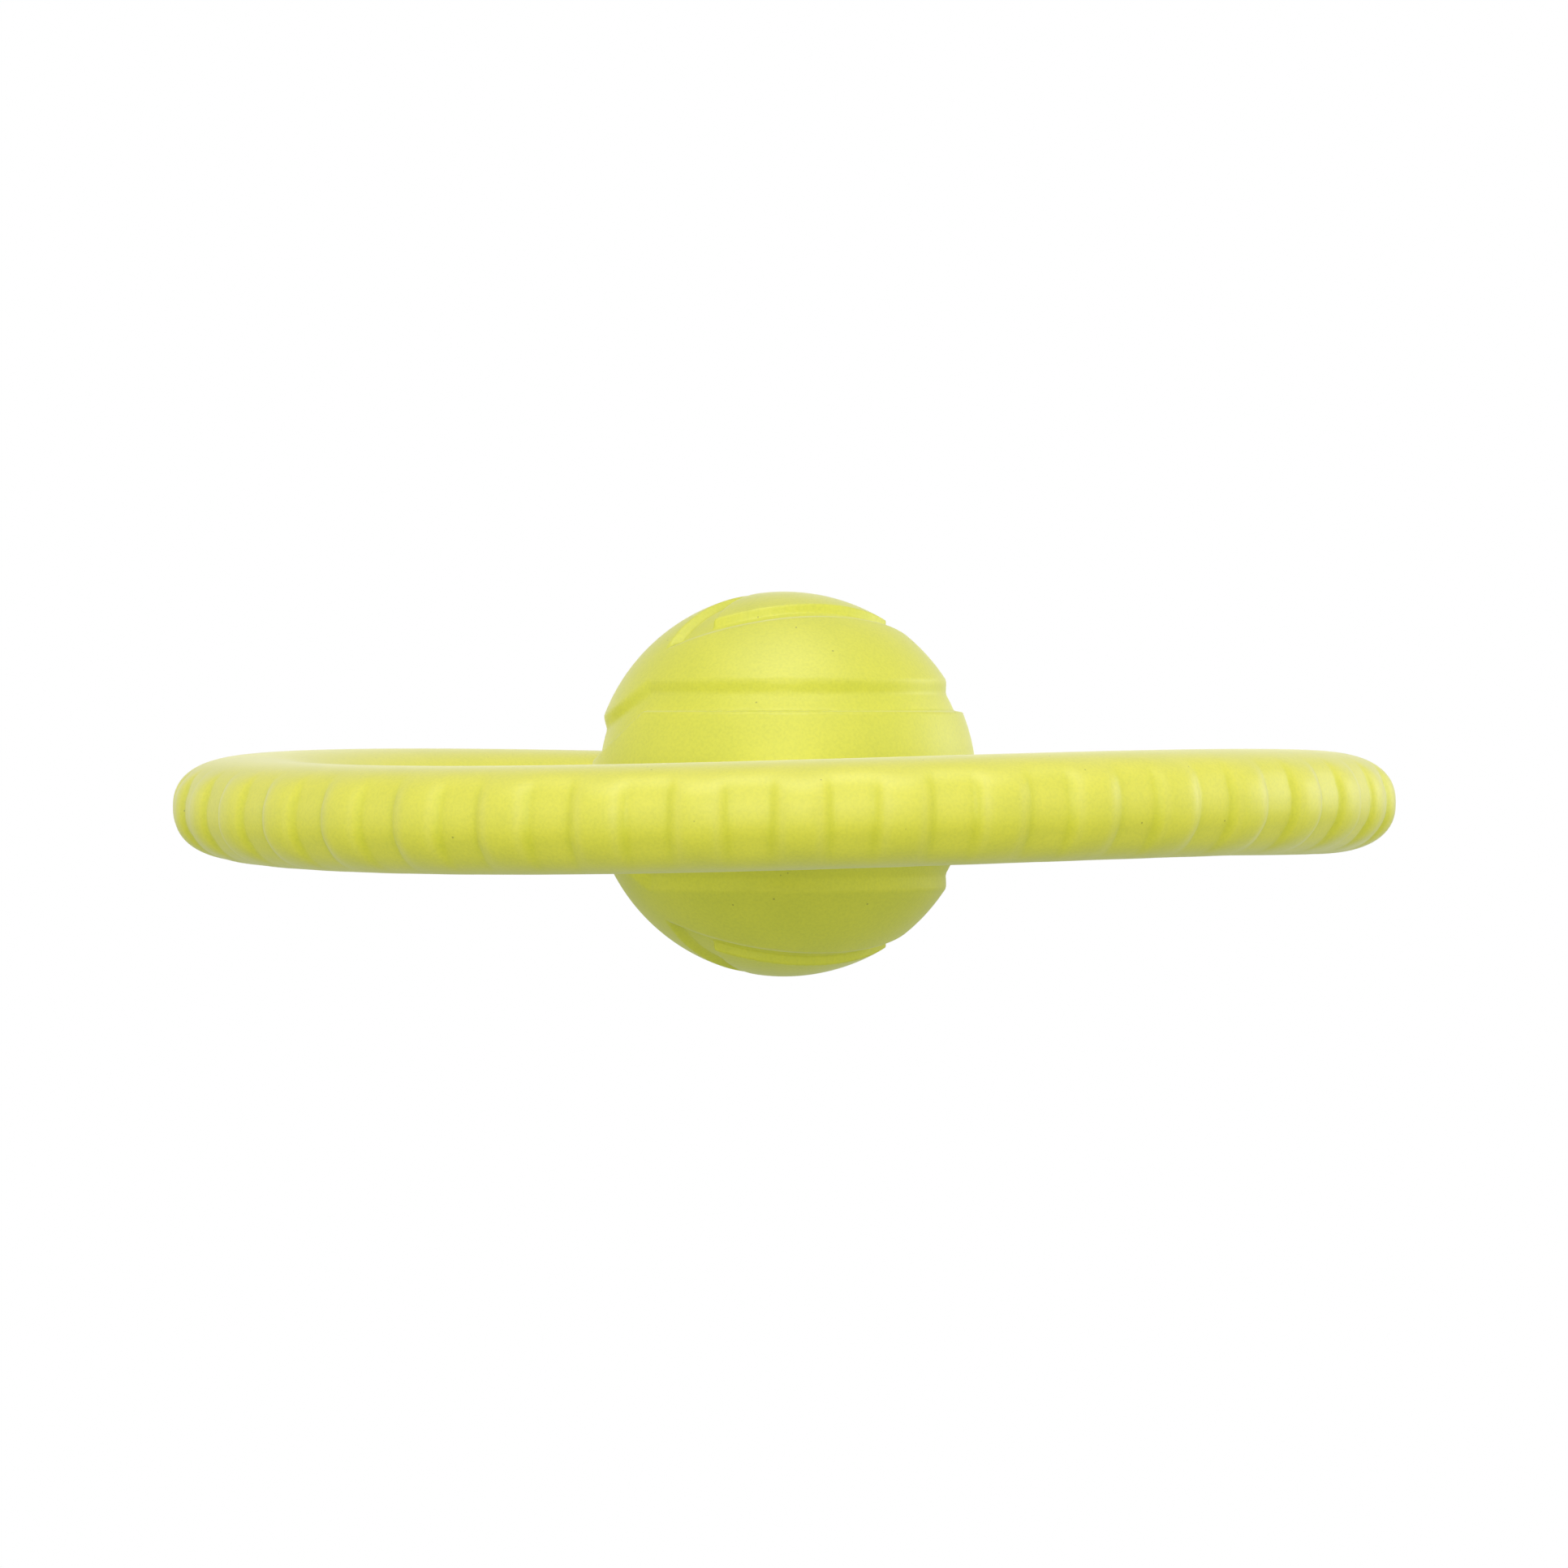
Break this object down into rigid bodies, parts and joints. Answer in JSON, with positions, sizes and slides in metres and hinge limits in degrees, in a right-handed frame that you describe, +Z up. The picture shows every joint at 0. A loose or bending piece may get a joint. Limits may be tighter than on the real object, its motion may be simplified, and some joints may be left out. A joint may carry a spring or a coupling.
{
  "type": "ring and ball throwing toy",
  "caption": "Soft foam throwing ring with raised ribs round its outside and a channelled ball held in its middle by soft spokes.",
  "frame": {"origin": "centre of the ball, on the ring's axis; the ring's middle plane hangs 4.2 mm below it", "axes": "+Z up along the ring's axis, -Y towards the side that was pictured, +X to that view's right"},
  "size_m": [0.23, 0.23, 0.0726],
  "materials": {
    "ring_foam": "matt skin of foamed rubber with fine pores",
    "ball_foam": "matt skin of foamed rubber with fine pores",
    "spoke_foam": "matt skin of foamed rubber with fine pores"
  },
  "bodies": {
    "ball": {"ball": "ball_foam"},
    "ring": {"ring": "ring_foam", "spoke_right": "spoke_foam", "spoke_rear": "spoke_foam", "spoke_left": "spoke_foam", "spoke_front": "spoke_foam"}
  },
  "joints": [
    {"name": "ring_bob", "type": "slide", "parent": "ball", "child": "ring", "axis": [0, 0, 1], "range_m": [-0.008, 0.016], "stiffness_N_per_m": 330, "springref_m": 0.0042, "deforming": ["spoke_right", "spoke_rear", "spoke_left", "spoke_front"]}
  ]
}
